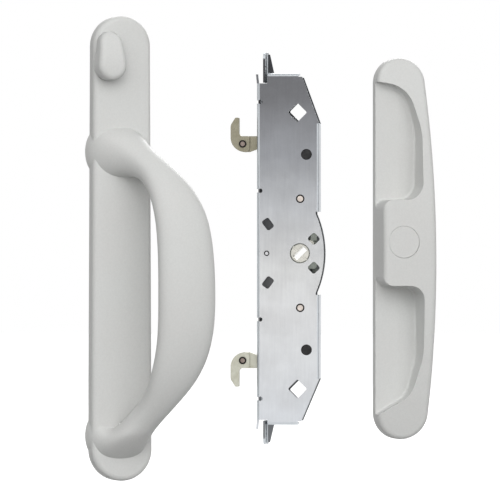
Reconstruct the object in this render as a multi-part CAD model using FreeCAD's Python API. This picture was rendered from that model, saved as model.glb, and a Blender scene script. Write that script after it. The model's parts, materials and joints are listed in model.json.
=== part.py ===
"""Mortise sliding door handle set: interior pull, two-hook mortise lock, exterior pull.

Millimetres, +Z up. Each of the three things has its own frame: x to the right
of its face, y into the door, z up, with the face looking along -y. The common
origin is the tailpiece axis in the interior pull's back plane.
"""
import FreeCAD, Part
import math
import os

V = FreeCAD.Vector

# Where the three things stand, and how far each is turned about Z
INTERIOR_YAW = 20.0
LOCK_AT = (112.2, -8.0, 20.7)
LOCK_YAW = -5.0
EXTERIOR_AT = (171.5, 0.0, 27.5)
EXTERIOR_YAW = 17.0

# Fixings shared by the three things
FIXING_SPACING = 168.3
FIXING_BORE_R = 2.1

# Interior pull: backplate
PLATE_X = 0.6
PLATE_TOP_R = 18.3
PLATE_BOTTOM_R = 19.4
PLATE_TOP = 165.5
PLATE_BOTTOM = 118.3
PLATE_DEPTH = 9.5
PLATE_CROWN = 1.2
PLATE_EDGE_R = 3.0
PLATE_WALL = 2.2
POCKET_DEPTH = 6.0
INTERIOR_BOSS_R = 5.0
INTERIOR_BORE_DEPTH = 14.0
RIB_THICKNESS = 1.6
RIB_HEIGHT = 3.4
FULL_RIBS = (-30.0, -57.0, -102.0)
SHORT_RIBS = (30.0, 57.0, 108.0)
RIB_END = 0.5

# Interior pull: grip, a strap that leans out to the right of the plate
GRIP_REACH = 48.0
GRIP_OFFSET = 27.5
UPPER_FOOT_Z = 82.8
LOWER_FOOT_Z = -90.5
FOOT_OFFSET = -1.6
FOOT_LENGTH = 35.5
FOOT_WIDTH = 39.0
GRIP_WIDTH = 40.5
GRIP_WAIST = 19.5
GRIP_THICKNESS = 16.2
GRIP_POINTS = 12
GRIP_ARCH = (
    (0.0, 1.0), (0.289, 0.965), (0.655, 0.846), (0.918, 0.618), (1.028, 0.25),
    (1.041, -0.247), (0.872, -0.591), (0.56, -0.842), (0.335, -0.998), (0.0, -1.0),
)
GRIP_SQUARENESS = 0.84

# Thumb turn and its linkage
TURN_EDGE_GAP = 8.3
TURN_Z = 134.9
TURN_BROAD_R = 8.9
TURN_TIP_R = 7.2
TURN_TIP_RISE = 13.6
TURN_HEIGHT = 12.0
TURN_TIP_DROP = 6.5
TURN_GAP = 0.4
TURN_EDGE_R = 3.6
TURN_SHAFT_R = 4.0
TURN_SQUARE = 5.0
CRANK_ARM = 8.0
CRANK_THICKNESS = 1.4
CRANK_EYE_R = 3.2
CRANK_HUB_R = 5.0
LINK_WIDTH = 4.4
LINK_THICKNESS = 1.2
LINK_EYE_R = 2.9
LINK_BOW = 2.5
LINK_BOW_START = 8.0
LINK_BOW_END = 100.0
LINK_PIN_R = 1.6
LINK_HEAD_R = 2.5
LINK_HEAD_HEIGHT = 0.6
LAYER_GAP = 0.1
CRANK_FLOOR_GAP = 0.2
DRIVER_BOSS_R = 4.6
DRIVER_SPIGOT_R = 3.0
DRIVER_SPIGOT_LENGTH = 1.5
TAIL_WIDTH = 7.6
TAIL_THICKNESS = 2.4
TAIL_REACH = 28.0
TAIL_SEAT = 3.3
KEEPER_THICKNESS = 1.2
KEEPER_WALL_GAP = 2.3
KEEPER_RIGHT = 7.0
KEEPER_HALF_HEIGHT = 13.5
KEEPER_HOLE_R = 4.2
KEEPER_SCREW_INSET = 4.5
KEEPER_SCREW_Z = 9.3
KEEPER_SCREW_R = 1.0
KEEPER_BOSS_R = 3.1
KEEPER_HEAD_R = 2.2
KEEPER_HEAD_HEIGHT = 0.8
RUNNING_GAP = 0.05

# Lock case
CASE_DEPTH = 16.0
SHEET = 1.2
BEND_R = 2.2
CASE_FRONT = -26.4
CASE_REAR = 11.8
CASE_TOP = 109.7
CASE_BOTTOM = -104.5
CHAMFER_TOP_X = 0.5
CHAMFER_TOP_Z = 79.1
CHAMFER_BOTTOM_X = -0.1
CHAMFER_BOTTOM_Z = -76.4
NOTCH_TOP = 103.5
NOTCH_BOTTOM = -101.5
NOTCH_X = -19.8
BULGE_HALF = 24.0
BULGE_RISE = 2.8
LIP_DEPTH = 3.8
LIP_BREAKS = (92.2, 38.1, -40.3, -88.6)
LIP_BREAK_WIDTH = 2.0
RELIEF_R = 1.3
EAR_FACE = -22.6
EAR_TOP = 122.6
EAR_BOTTOM = -116.6
EAR_LUG_X = -16.3
EAR_HOLE_R = 2.3
EAR_CORNER_R = 5.0
EAR_RELIEF = 1.6
HORN_LENGTH = 6.0
HORN_WIDTH = 3.0
HORN_TILT = 6.0

# Lock case: holes
SCREW_HOLE_SIDE = 8.3
SCREW_HOLE_CORNER_R = 0.9
SCREW_HOLE_X = -1.5
SCREW_HOLE_MIDDLE = 1.6
SCREW_HOLE_STAGGER = 0.8
HUB_HOLE_R = 6.1
FRONT_WINDOW_X = -19.5
FRONT_WINDOW_Z = 17.8
FRONT_WINDOW_LONG = 7.0
FRONT_WINDOW_SHORT = 5.0
FRONT_WINDOW_TURN = 53.0
REAR_WINDOW_X = 8.5
REAR_WINDOW_Z = 8.8
REAR_WINDOW_SIDE = 5.8
WINDOW_CORNER_R = 1.4

# Lock works
HUB_PIN_ORBIT = 8.5
HUB_PIN_R = 1.3
HUB_BODY_R = 7.4
HUB_LOBE_R = 2.2
HUB_HALF_BODY = 4.4
HUB_REST_ANGLE = 45.0
HUB_TURN = 90.0
HUB_SLOT_LENGTH = 8.7
HUB_SLOT_WIDTH = 3.6
HUB_GROOVE_WIDTH = 1.3
HUB_GROOVE_DEPTH = 0.5
HUB_CHAMFER = 0.7
HUB_SLOT_RIM = 0.5
SLIDE_THICKNESS = 2.0
SLIDE_GAP = 0.2
SLIDE_RAIL = 3.0
SLIDE_SIDE_GAP = 0.35
DRIVE_PLAY = 0.4
SLIDE_ARM_LEFT = -8.6
SLIDE_ARM_TAIL = 4.8
HOOK_THROW = 82.0
HOOK_PIN_R = 1.5
HOOK_CORE = 3.0
HOOK_CHEEK = 1.5
HOOK_TIP_RISE = 22.6
HOOK_BACK = 46.8
HOOK_THROAT = 41.7
HOOK_ARM_TOP = 11.3
HOOK_ARM_BOTTOM = 3.5
HOOK_HEEL = 1.6
HOOK_HEEL_R = 12.0
HOOK_CHEEK_END = 35.2
HOOK_RIVET_AT = (39.4, 6.6)
HOOK_RIVET_R = 1.5
HOOK_RIVET_HEAD_R = 2.3
HOOK_RIVET_HEAD = 0.6
HOOK_EYE_R = 6.0
PIVOT_X = 4.0
PIVOT_UPPER_Z = 60.2
PIVOT_LOWER_Z = 58.8
PIVOT_R = 2.5
PIVOT_HEAD_R = 3.3
PIVOT_SLEEVE_R = 3.4
SPACER_X = 0.2
SPACER_Z = 33.2
SPACER_R = 2.9
SPACER_TENON_R = 1.9
SPACER_HOLE_R = 2.6
SPACER_ARM = 5.4
SLIDE_FORK_REACH = 40.0
FRONT_SPACER_X = -20.3
FRONT_SPACER_R = 2.4
FRONT_TENON_R = 1.2
FRONT_HOLE_R = 1.65

# Exterior pull
EXT_LEFT = -16.0
EXT_TOP = 112.4
EXT_BOTTOM = -120.4
EXT_TOP_R = 15.2
EXT_BOTTOM_R = 16.2
EXT_BELLY = 18.0
EXT_END_DEPTH = 8.0
EXT_DEPTH = 23.0
EXT_EDGE_R = 3.2
EXT_FLOOR = 5.0
EXT_COVE_R = 1.5
EXT_CREASE_X = -1.3
EXT_FALL = 0.9
EXT_BLOCK_TOP = 25.6
EXT_BLOCK_BOTTOM = -26.6
EXT_BLOCK_R = 5.9
EXT_RIDGE_X = 9.9
EXT_POCKET_WALL = 2.4
EXT_POCKET_DEPTH = 15.0
EXT_POST_R = 4.8
EXT_POST_LENGTH = 18.0
PLUG_X = -3.5
PLUG_R = 9.75
PLUG_GAP = 0.1
PLUG_HEAD = 2.4
PLUG_SKIRT_R = 8.3
PLUG_SKIRT_WALL = 1.4
PLUG_SKIRT_LENGTH = 11.0
CLIP_R = 9.8
CLIP_THICKNESS = 0.8


def cylinder_y(x, z, radius, y0, y1):
    """Cylinder along y from y0 to y1."""
    return Part.makeCylinder(radius, y1 - y0, V(x, y0, z), V(0, 1, 0))


def block(x0, x1, y0, y1, z0, z1):
    """Box between two corners."""
    return Part.makeBox(x1 - x0, y1 - y0, z1 - z0, V(x0, y0, z0))


def rounded_wire(corners):
    """Closed wire in the XZ plane through corners (x, z, radius)."""
    points = [V(x, 0, z) for x, z, radius in corners]
    spans = []
    for i, (x, z, radius) in enumerate(corners):
        here = points[i]
        if radius == 0:
            spans.append((here, here, None))
            continue
        back = (points[i - 1] - here).normalize()
        ahead = (points[(i + 1) % len(points)] - here).normalize()
        half = back.getAngle(ahead) / 2
        reach = radius / math.tan(half)
        middle = here + (back + ahead).normalize() * (radius / math.sin(half) - radius)
        spans.append((here + back * reach, here + ahead * reach, middle))
    edges = []
    for i, (start, end, middle) in enumerate(spans):
        if middle:
            edges.append(Part.Arc(start, middle, end).toShape())
        following = spans[(i + 1) % len(spans)][0]
        if end.distanceToPoint(following) > 1e-6:
            edges.append(Part.makeLine(end, following))
    return Part.Wire(edges)


def prism(corners, y0, y1):
    """Solid of a rounded outline between two depths."""
    face = Part.Face(rounded_wire(corners))
    face.translate(V(0, y0, 0))
    return face.extrude(V(0, y1 - y0, 0))


def sharp(points):
    """Corners with no radius."""
    return [(x, z, 0) for x, z in points]


def obround(x0, z0, x1, z1, radius, y0, y1):
    """Slot-shaped solid round two centres."""
    along = V(x1 - x0, 0, z1 - z0).normalize()
    side = V(-along.z, 0, along.x) * radius
    first = V(x0, y0, z0)
    last = V(x1, y0, z1)
    edges = [
        Part.makeLine(first + side, last + side),
        Part.Arc(last + side, last + along * radius, last - side).toShape(),
        Part.makeLine(last - side, first - side),
        Part.Arc(first - side, first - along * radius, first + side).toShape(),
    ]
    return Part.Face(Part.Wire(edges)).extrude(V(0, y1 - y0, 0))


def egg(x0, z0, r0, x1, z1, r1, y0, y1):
    """Solid round two circles of different size and their outer tangents."""
    first = V(x0, y0, z0)
    last = V(x1, y0, z1)
    along = (last - first).normalize()
    side = V(-along.z, 0, along.x)
    lean = (r0 - r1) / first.distanceToPoint(last)
    upright = math.sqrt(1 - lean * lean)
    left = along * lean + side * upright
    right = along * lean - side * upright
    edges = [
        Part.makeLine(first + left * r0, last + left * r1),
        Part.Arc(last + left * r1, last + along * r1, last + right * r1).toShape(),
        Part.makeLine(last + right * r1, first + right * r0),
        Part.Arc(first + right * r0, first - along * r0, first + left * r0).toShape(),
    ]
    return Part.Face(Part.Wire(edges)).extrude(V(0, y1 - y0, 0))


def turned(shape, x, z, degrees):
    """Copy turned about the y axis through (x, z), anticlockwise seen from the front."""
    copy = shape.copy()
    copy.rotate(V(x, 0, z), V(0, -1, 0), degrees)
    return copy


def polar(x, z, radius, degrees):
    """Point at an angle seen from the front."""
    angle = math.radians(degrees)
    return x + radius * math.cos(angle), z + radius * math.sin(angle)


def edges_at(shape, test):
    """Edges of a shape whose middle passes a test."""
    return [edge for edge in shape.Edges if test(edge.CenterOfMass)]


def on_side(edge):
    """Whether a straight edge runs along y."""
    return edge.BoundBox.XLength < 1e-6 and edge.BoundBox.ZLength < 1e-6


def interior_frame(shape):
    """Interior pull's frame to the common frame."""
    shape.rotate(V(0, 0, 0), V(0, 0, 1), INTERIOR_YAW)
    return shape


def lock_frame(shape):
    """Lock's frame to the common frame."""
    shape.rotate(V(0, 0, 0), V(0, 0, 1), LOCK_YAW)
    shape.translate(V(*LOCK_AT))
    return shape


def exterior_frame(shape):
    """Exterior pull's frame to the common frame."""
    shape.rotate(V(0, 0, 0), V(0, 0, 1), EXTERIOR_YAW)
    shape.translate(V(*EXTERIOR_AT))
    return shape


def save(shape, node):
    """Write one piece."""
    shape.exportStep("parts/" + node + ".step")


# Interior pull

PLATE_WIDTH = 2 * max(PLATE_TOP_R, PLATE_BOTTOM_R)
UPPER_CENTRE_Z = PLATE_TOP - PLATE_TOP_R
LOWER_CENTRE_Z = PLATE_BOTTOM_R - PLATE_BOTTOM
FIXING_Z = FIXING_SPACING / 2
TURN_X = PLATE_X - PLATE_TOP_R + TURN_EDGE_GAP
KEEPER_LEFT = PLATE_X - (PLATE_TOP_R + PLATE_BOTTOM_R) / 2 + PLATE_WALL + KEEPER_WALL_GAP
KEEPER_SCREW_X = KEEPER_LEFT + KEEPER_SCREW_INSET
CRANK_FRONT = -POCKET_DEPTH + CRANK_FLOOR_GAP
CRANK_BACK = CRANK_FRONT + CRANK_THICKNESS
LINK_FRONT = CRANK_BACK + LAYER_GAP
LINK_BACK = LINK_FRONT + LINK_THICKNESS
LINK_HEAD_BACK = LINK_BACK + LAYER_GAP + LINK_HEAD_HEIGHT
KEEPER_FRONT = LINK_HEAD_BACK + LAYER_GAP
KEEPER_BACK = KEEPER_FRONT + KEEPER_THICKNESS
DRIVER_BOSS_BACK = KEEPER_FRONT - LAYER_GAP
CRANK_REST_ANGLE = 45.0


def backplate_body():
    """Crowned long slab, a little broader below, with rounded front edges."""
    x = PLATE_X
    slab = egg(x, LOWER_CENTRE_Z, PLATE_BOTTOM_R, x, UPPER_CENTRE_Z, PLATE_TOP_R, -PLATE_DEPTH - 1, 0)
    half = PLATE_WIDTH / 2
    crown_r = half ** 2 / (2 * PLATE_CROWN) + PLATE_CROWN / 2
    length = PLATE_TOP + PLATE_BOTTOM + 2 * PLATE_WIDTH
    low = V(PLATE_X, crown_r - PLATE_DEPTH, -PLATE_BOTTOM - PLATE_WIDTH)
    slab = slab.common(Part.makeCylinder(crown_r, length, low, V(0, 0, 1)))
    front = edges_at(slab, lambda c: c.y < -PLATE_DEPTH / 2 and abs(c.y + PLATE_DEPTH / 2) > 1.5)
    return slab.makeFillet(PLATE_EDGE_R, front)


def between(table, value):
    """Straight interpolation in rising (value, result) pairs."""
    for (v0, r0), (v1, r1) in zip(table, table[1:]):
        if value <= v1:
            return r0 + (r1 - r0) * (value - v0) / (v1 - v0)
    return table[-1][1]


def grip_ring(centre, upright, width, thickness):
    """Control points round a rounded strap section, across x and the upright direction."""
    grow = 6 / (4 + 2 * math.cos(2 * math.pi / GRIP_POINTS))
    ring = []
    for k in range(GRIP_POINTS):
        cosine = math.cos(2 * math.pi * k / GRIP_POINTS)
        sine = math.sin(2 * math.pi * k / GRIP_POINTS)
        across = math.copysign(abs(cosine) ** GRIP_SQUARENESS, cosine) * width / 2
        along = math.copysign(abs(sine) ** GRIP_SQUARENESS, sine) * thickness / 2
        ring.append(centre + V(across, 0, 0) * grow + upright * (along * grow))
    return ring


def smooth_skin(rings):
    """Closed solid whose smooth skin follows rings of control points, flat at both ends."""
    count = len(rings)
    around = len(rings[0])
    skin = Part.BSplineSurface()
    ends = [4] + [1] * (count - 4) + [4]
    skin.buildFromPolesMultsKnots(
        rings, ends, [1] * (around + 1), list(range(count - 2)), list(range(around + 1)), False, True, 3, 3
    )
    side = skin.toShape()
    caps = [Part.Face(Part.Wire(edge)) for edge in side.Edges if edge.BoundBox.YLength < 0.001]
    shell = Part.makeShell([side] + caps)
    shell.sewShape()
    return Part.makeSolid(shell)


def grip_body():
    """Strap that follows an arch from the upper foot to the lower foot."""
    middle = (UPPER_FOOT_Z + LOWER_FOOT_Z) / 2
    half_span = (UPPER_FOOT_Z - LOWER_FOOT_Z) / 2
    points = [V(0, -GRIP_REACH * reach, middle + half_span * rise) for reach, rise in GRIP_ARCH]
    curve = Part.BSplineCurve()
    curve.interpolate(Points=points, InitialTangent=V(0, -1, 0), FinalTangent=V(0, 1, 0))
    line = curve.toShape()
    foot = (PLATE_DEPTH - 3) / GRIP_REACH
    widths = (
        (-1, FOOT_WIDTH), (foot, FOOT_WIDTH), (foot + 0.07, FOOT_WIDTH * 0.87), (0.32, GRIP_WAIST * 1.25),
        (0.5, GRIP_WAIST), (0.68, GRIP_WAIST), (0.86, (GRIP_WAIST + GRIP_WIDTH) / 2), (1.2, GRIP_WIDTH),
    )
    depths = (
        (-1, FOOT_LENGTH), (foot, FOOT_LENGTH), (foot + 0.07, FOOT_LENGTH * 0.88), (0.32, FOOT_LENGTH * 0.67),
        (0.5, GRIP_THICKNESS * 0.96), (1.2, GRIP_THICKNESS),
    )
    lean_from = PLATE_DEPTH / GRIP_REACH
    leans = ((-1, FOOT_OFFSET), (lean_from, FOOT_OFFSET), (1.0, GRIP_OFFSET), (1.2, GRIP_OFFSET))
    half = (0, 0.04, 0.085, 0.14, 0.20, 0.28, 0.38)
    stations = half + (0.5,) + tuple(1 - s for s in reversed(half))
    rings = [grip_ring(V(FOOT_OFFSET, 6, UPPER_FOOT_Z), V(0, 0, -1), FOOT_WIDTH, FOOT_LENGTH)]
    for station in stations:
        parameter = line.getParameterByLength(station * line.Length)
        place = line.valueAt(parameter)
        heading = line.tangentAt(parameter)
        upright = V(0, -heading.z, heading.y)
        height = -place.y / GRIP_REACH
        centre = V(between(leans, height), place.y, place.z)
        rings.append(grip_ring(centre, upright, between(widths, height), between(depths, height)))
    rings.append(grip_ring(V(FOOT_OFFSET, 6, LOWER_FOOT_Z), V(0, 0, 1), FOOT_WIDTH, FOOT_LENGTH))
    behind = block(-2 * PLATE_WIDTH, 2 * PLATE_WIDTH, 0, 10, -2 * FIXING_Z, 2 * FIXING_Z)
    return smooth_skin(rings).cut(behind)


def interior_pull():
    """One casting: backplate, grip, fixing bosses, ribs and bearing for the works."""
    body = backplate_body().fuse(grip_body())
    low_r = PLATE_BOTTOM_R - PLATE_WALL
    high_r = PLATE_TOP_R - PLATE_WALL
    pocket = egg(PLATE_X, LOWER_CENTRE_Z, low_r, PLATE_X, UPPER_CENTRE_Z, high_r, -POCKET_DEPTH, 1)
    body = body.cut(pocket)
    root = -POCKET_DEPTH - 0.5
    adds = []
    for side in (1, -1):
        adds.append(cylinder_y(0, side * FIXING_Z, INTERIOR_BOSS_R, root, 0))
        adds.append(cylinder_y(KEEPER_SCREW_X, side * KEEPER_SCREW_Z, KEEPER_BOSS_R, root, KEEPER_FRONT))
    rib_back = -POCKET_DEPTH + RIB_HEIGHT
    left = PLATE_X - PLATE_WIDTH / 2
    half_rib = RIB_THICKNESS / 2
    ribs = [block(left, left + PLATE_WIDTH, root, rib_back, z - half_rib, z + half_rib) for z in FULL_RIBS]
    ribs += [block(left, RIB_END, root, rib_back, z - half_rib, z + half_rib) for z in SHORT_RIBS]
    pocket_grown = egg(PLATE_X, LOWER_CENTRE_Z, low_r + 0.5, PLATE_X, UPPER_CENTRE_Z, high_r + 0.5, root, rib_back)
    adds += [rib.common(pocket_grown) for rib in ribs]
    body = body.fuse(adds)
    holes = [
        cylinder_y(TURN_X, TURN_Z, TURN_SHAFT_R + RUNNING_GAP, -PLATE_DEPTH - 1, 0),
        cylinder_y(0, 0, DRIVER_SPIGOT_R + RUNNING_GAP, CRANK_FRONT - DRIVER_SPIGOT_LENGTH - 0.2, 0),
    ]
    for side in (1, -1):
        holes.append(cylinder_y(0, side * FIXING_Z, FIXING_BORE_R, -INTERIOR_BORE_DEPTH, 1))
        holes.append(cylinder_y(KEEPER_SCREW_X, side * KEEPER_SCREW_Z, KEEPER_SCREW_R + RUNNING_GAP, root, 0))
    return body.cut(holes).removeSplitter()


def thumb_turn():
    """Egg-shaped turn that falls away towards its tip, with a round shaft and a square tenon."""
    seat = -PLATE_DEPTH - TURN_GAP
    tip = TURN_Z + TURN_TIP_RISE
    knob = egg(TURN_X, TURN_Z, TURN_BROAD_R, TURN_X, tip, TURN_TIP_R, seat - TURN_HEIGHT - 1, seat)
    reach = TURN_TIP_RISE + TURN_TIP_R
    arc_r = (reach ** 2 + TURN_TIP_DROP ** 2) / (2 * TURN_TIP_DROP)
    low = V(TURN_X - 2 * TURN_BROAD_R, seat - TURN_HEIGHT + arc_r, TURN_Z)
    knob = knob.common(Part.makeCylinder(arc_r, 4 * TURN_BROAD_R, low, V(1, 0, 0)))
    rim = edges_at(knob, lambda c: c.y < seat - 1.5 and abs(c.y - seat + (TURN_HEIGHT - TURN_TIP_DROP) / 2) > 2)
    rim = [edge for edge in rim if not on_side(edge)]
    knob = knob.makeFillet(TURN_EDGE_R, rim)
    foot = edges_at(knob, lambda c: c.y > seat - 0.1)
    knob = knob.makeFillet(0.6, foot)
    shaft = cylinder_y(TURN_X, TURN_Z, TURN_SHAFT_R, seat - 1, CRANK_FRONT)
    half = TURN_SQUARE / 2
    tenon = block(TURN_X - half, TURN_X + half, CRANK_FRONT - 0.5, CRANK_BACK, TURN_Z - half, TURN_Z + half)
    return knob.fuse([shaft, tenon]).removeSplitter()


def crank_pin(x, z):
    """Where a crank's pin stands at rest."""
    return polar(x, z, CRANK_ARM, CRANK_REST_ANGLE)


def turn_crank():
    """Stamped crank staked on the thumb turn's tenon."""
    pin_x, pin_z = crank_pin(TURN_X, TURN_Z)
    crank = egg(TURN_X, TURN_Z, CRANK_HUB_R, pin_x, pin_z, CRANK_EYE_R, CRANK_FRONT, CRANK_BACK)
    half = TURN_SQUARE / 2
    square = block(TURN_X - half, TURN_X + half, CRANK_FRONT, CRANK_BACK, TURN_Z - half, TURN_Z + half)
    return crank.cut([square, cylinder_y(pin_x, pin_z, LINK_PIN_R, CRANK_FRONT, CRANK_BACK)])


def link_bar():
    """Flat bar, bowed to pass the fixing boss, that joins the two cranks."""
    low_x, low_z = crank_pin(0, 0)
    high_x, high_z = crank_pin(TURN_X, TURN_Z)
    half = LINK_WIDTH / 2
    bow_x = low_x + LINK_BOW
    path = (
        (low_x, low_z), (bow_x, low_z + LINK_BOW_START), (bow_x, low_z + LINK_BOW_END), (high_x, high_z),
    )
    legs = [
        obround(x0, z0, x1, z1, half, LINK_FRONT, LINK_BACK)
        for (x0, z0), (x1, z1) in zip(path, path[1:])
    ]
    eyes = [cylinder_y(x, z, LINK_EYE_R, LINK_FRONT, LINK_BACK) for x, z in (path[0], path[-1])]
    bar = legs[0].fuse(legs[1:] + eyes).removeSplitter()
    holes = [cylinder_y(x, z, LINK_PIN_R + RUNNING_GAP, LINK_FRONT, LINK_BACK) for x, z in (path[0], path[-1])]
    return bar.cut(holes)


def link_rivet(x, z):
    """Headed rivet staked in a crank."""
    pin_x, pin_z = crank_pin(x, z)
    head_front = LINK_BACK + LAYER_GAP
    shank = cylinder_y(pin_x, pin_z, LINK_PIN_R, CRANK_FRONT, head_front)
    return shank.fuse(cylinder_y(pin_x, pin_z, LINK_HEAD_R, head_front, LINK_HEAD_BACK)).removeSplitter()


def tail_blade(y0, y1):
    """Straight part of the tailpiece, in line with the lock's slot."""
    blade = block(-TAIL_WIDTH / 2, TAIL_WIDTH / 2, y0, y1, -TAIL_THICKNESS / 2, TAIL_THICKNESS / 2)
    return turned(blade, 0, 0, CRANK_REST_ANGLE)


def tail_driver():
    """Lower crank with a spigot in the casting and a boss that grips the tailpiece."""
    pin_x, pin_z = crank_pin(0, 0)
    body = egg(0, 0, CRANK_HUB_R, pin_x, pin_z, CRANK_EYE_R, CRANK_FRONT, CRANK_BACK)
    boss = cylinder_y(0, 0, DRIVER_BOSS_R, CRANK_FRONT, DRIVER_BOSS_BACK)
    spigot = cylinder_y(0, 0, DRIVER_SPIGOT_R, CRANK_FRONT - DRIVER_SPIGOT_LENGTH, CRANK_BACK)
    body = body.fuse([boss, spigot]).removeSplitter()
    seat = tail_blade(DRIVER_BOSS_BACK - TAIL_SEAT, DRIVER_BOSS_BACK)
    return body.cut([seat, cylinder_y(pin_x, pin_z, LINK_PIN_R, CRANK_FRONT, CRANK_BACK)])


def tailpiece():
    """Flat steel blade with a tapered end."""
    taper = 5.0
    half = TAIL_WIDTH / 2
    start = DRIVER_BOSS_BACK - TAIL_SEAT
    outline = [
        V(-half, start, 0), V(half, start, 0), V(half, TAIL_REACH - taper, 0),
        V(half / 2, TAIL_REACH, 0), V(-half / 2, TAIL_REACH, 0), V(-half, TAIL_REACH - taper, 0),
    ]
    blade = Part.Face(Part.makePolygon(outline + outline[:1])).extrude(V(0, 0, TAIL_THICKNESS))
    blade.translate(V(0, 0, -TAIL_THICKNESS / 2))
    return turned(blade, 0, 0, CRANK_REST_ANGLE)


def driver_keeper():
    """Stamped plate that holds the driver in the casting."""
    corner = 3.0
    outline = [
        (KEEPER_LEFT, -KEEPER_HALF_HEIGHT, corner), (KEEPER_RIGHT, -KEEPER_HALF_HEIGHT, corner),
        (KEEPER_RIGHT, KEEPER_HALF_HEIGHT, corner), (KEEPER_LEFT, KEEPER_HALF_HEIGHT, corner),
    ]
    plate = prism(outline, KEEPER_FRONT, KEEPER_BACK)
    holes = [cylinder_y(0, 0, KEEPER_HOLE_R, KEEPER_FRONT, KEEPER_BACK)]
    for side in (1, -1):
        x, z = KEEPER_SCREW_X, side * KEEPER_SCREW_Z
        holes.append(cylinder_y(x, z, KEEPER_SCREW_R + RUNNING_GAP, KEEPER_FRONT, KEEPER_BACK))
    return plate.cut(holes)


def keeper_screws():
    """Two small pan-head screws."""
    screws = []
    for side in (1, -1):
        x, z = KEEPER_SCREW_X, side * KEEPER_SCREW_Z
        shank = cylinder_y(x, z, KEEPER_SCREW_R, CRANK_FRONT, KEEPER_BACK)
        head = cylinder_y(x, z, KEEPER_HEAD_R, KEEPER_BACK, KEEPER_BACK + KEEPER_HEAD_HEIGHT)
        slot = block(x - KEEPER_HEAD_R, x + KEEPER_HEAD_R, KEEPER_BACK + 0.4, KEEPER_BACK + 1, z - 0.3, z + 0.3)
        screws.append(shank.fuse(head).removeSplitter().cut(slot))
    return Part.makeCompound(screws)


# Mortise lock

HALF_CASE = CASE_DEPTH / 2
INNER = HALF_CASE - SHEET
FRONT_INSET = CASE_FRONT + BEND_R
REAR_INSET = CASE_REAR - BEND_R
TOP_INSET = CASE_TOP - BEND_R
BOTTOM_INSET = CASE_BOTTOM + BEND_R
SLIDE_OUTER = INNER - SLIDE_GAP
SLIDE_INNER = SLIDE_OUTER - SLIDE_THICKNESS
SLIDE_STROKE = 2 * HUB_PIN_ORBIT * math.sin(math.radians(HUB_TURN / 2))
HOOK_PIN_ORBIT = SLIDE_STROKE / 2 / math.sin(math.radians(HOOK_THROW / 2))


def flange(x0, z0, x1, z1, outward, side, depth):
    """Bend and wall along an inset edge; side is -1 on the near plate and 1 on the far one."""
    radius = BEND_R
    inner = BEND_R - SHEET
    face = side * HALF_CASE
    start = V(x0, face, z0)
    along = V(x1 - x0, 0, z1 - z0)
    away = V(*outward)
    inward = V(0, -side, 0)
    centre = start + inward * radius
    diagonal = (away - inward).normalize()
    a = start
    b = centre + away * radius
    c = start + away * radius + inward * depth
    d = c - away * SHEET
    e = centre + away * inner
    f = start + inward * SHEET
    edges = [
        Part.Arc(a, centre + diagonal * radius, b).toShape(),
        Part.makeLine(b, c),
        Part.makeLine(c, d),
        Part.makeLine(d, e),
        Part.Arc(e, centre + diagonal * inner, f).toShape(),
        Part.makeLine(f, a),
    ]
    return Part.Face(Part.Wire(edges)).extrude(along)


def chamfer_x(z):
    """x of the case's slanted edges at a height."""
    if z > 0:
        share = (z - CHAMFER_TOP_Z) / (CASE_TOP - CHAMFER_TOP_Z)
        return CASE_REAR + (CHAMFER_TOP_X - CASE_REAR) * share
    share = (z - CHAMFER_BOTTOM_Z) / (CASE_BOTTOM - CHAMFER_BOTTOM_Z)
    return CASE_REAR + (CHAMFER_BOTTOM_X - CASE_REAR) * share


def case_face(side, lugs):
    """Flat part of a case plate, with the lugs that carry the ears if asked."""
    y0, y1 = sorted((side * HALF_CASE, side * INNER))
    top = [(FRONT_INSET, NOTCH_TOP), (NOTCH_X, NOTCH_TOP), (NOTCH_X, TOP_INSET)]
    bottom = [(NOTCH_X, BOTTOM_INSET), (NOTCH_X, NOTCH_BOTTOM), (FRONT_INSET, NOTCH_BOTTOM)]
    if lugs:
        hinge = EAR_FACE + BEND_R
        tip = hinge + 1.0
        top = [
            (FRONT_INSET, NOTCH_TOP - 1), (hinge, NOTCH_TOP - 1), (hinge, EAR_TOP - 1),
            (tip, EAR_TOP - 1), (EAR_LUG_X, TOP_INSET),
        ]
        bottom = [
            (EAR_LUG_X, BOTTOM_INSET), (tip, EAR_BOTTOM + 1), (hinge, EAR_BOTTOM + 1),
            (hinge, NOTCH_BOTTOM + 1), (FRONT_INSET, NOTCH_BOTTOM + 1),
        ]
    rear_top = [(chamfer_x(TOP_INSET), TOP_INSET), (CASE_REAR, CHAMFER_TOP_Z), (REAR_INSET, CHAMFER_TOP_Z)]
    rear_bottom = [
        (REAR_INSET, CHAMFER_BOTTOM_Z), (CASE_REAR, CHAMFER_BOTTOM_Z), (chamfer_x(BOTTOM_INSET), BOTTOM_INSET),
    ]
    outline = top + rear_top + rear_bottom + bottom
    face = prism(sharp(outline), y0, y1)
    chord_x = REAR_INSET
    rise = CASE_REAR + BULGE_RISE - chord_x
    arc = Part.Arc(V(chord_x, y0, BULGE_HALF), V(chord_x + rise, y0, 0), V(chord_x, y0, -BULGE_HALF)).toShape()
    closing = Part.makeLine(V(chord_x, y0, -BULGE_HALF), V(chord_x, y0, BULGE_HALF))
    belly = Part.Face(Part.Wire([arc, closing])).extrude(V(0, y1 - y0, 0))
    return face.fuse(belly)


def window(x, z, long, short, degrees, y0, y1):
    """Rounded rectangular opening turned about its centre."""
    half_long = long / 2
    half_short = short / 2
    box = rounded_box(x - half_long, x + half_long, z - half_short, z + half_short, WINDOW_CORNER_R, y0, y1)
    return turned(box, x, z, degrees)


def rounded_box(x0, x1, z0, z1, radius, y0, y1):
    """Box with four rounded corners seen from the front."""
    corners = [(x0, z0, radius), (x1, z0, radius), (x1, z1, radius), (x0, z1, radius)]
    return prism(corners, y0, y1)


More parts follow.
